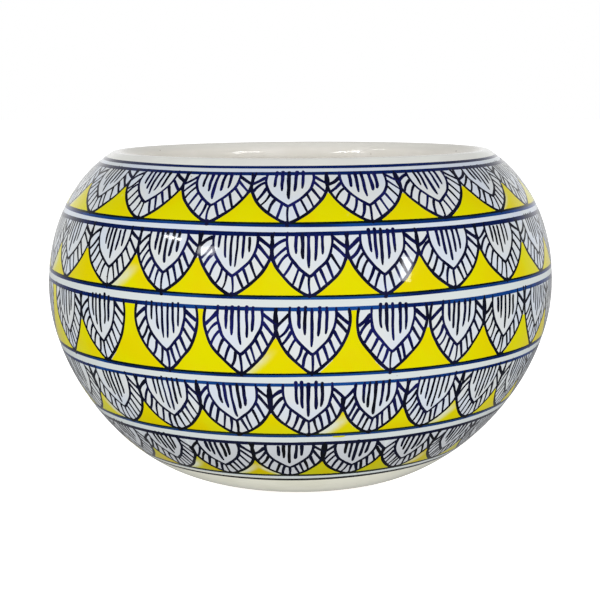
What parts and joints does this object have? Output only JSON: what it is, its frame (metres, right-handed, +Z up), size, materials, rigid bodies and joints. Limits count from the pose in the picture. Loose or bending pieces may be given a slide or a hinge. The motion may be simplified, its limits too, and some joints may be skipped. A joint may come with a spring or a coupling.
{
  "type": "planter",
  "caption": "Round-bellied glazed ceramic planter with painted petal bands, a drain hole, a lift-out rubber stopper and rubber foot pads.",
  "frame": {"origin": "middle of the surface that the planter stands on", "axes": "+Z up along the axis of the round body; the pictured side faces -Y"},
  "size_m": [0.2, 0.2, 0.1295],
  "materials": {
    "glazed_body": "clear glossy glaze over white, with navy brush lines and lemon yellow painted petal bands outside and plain cream inside",
    "stopper_rubber": "matt black moulded rubber",
    "pad_rubber": "matt pale grey rubber"
  },
  "bodies": {
    "planter": {"pot_body": "glazed_body", "foot_pad_1": "pad_rubber", "foot_pad_2": "pad_rubber", "foot_pad_3": "pad_rubber", "foot_pad_4": "pad_rubber"},
    "stopper": {"drain_stopper": "stopper_rubber"}
  },
  "joints": [
    {"name": "stopper_lift", "type": "slide", "parent": "planter", "child": "stopper", "axis": [0, 0, 1], "range_m": [0, 0.13]}
  ]
}
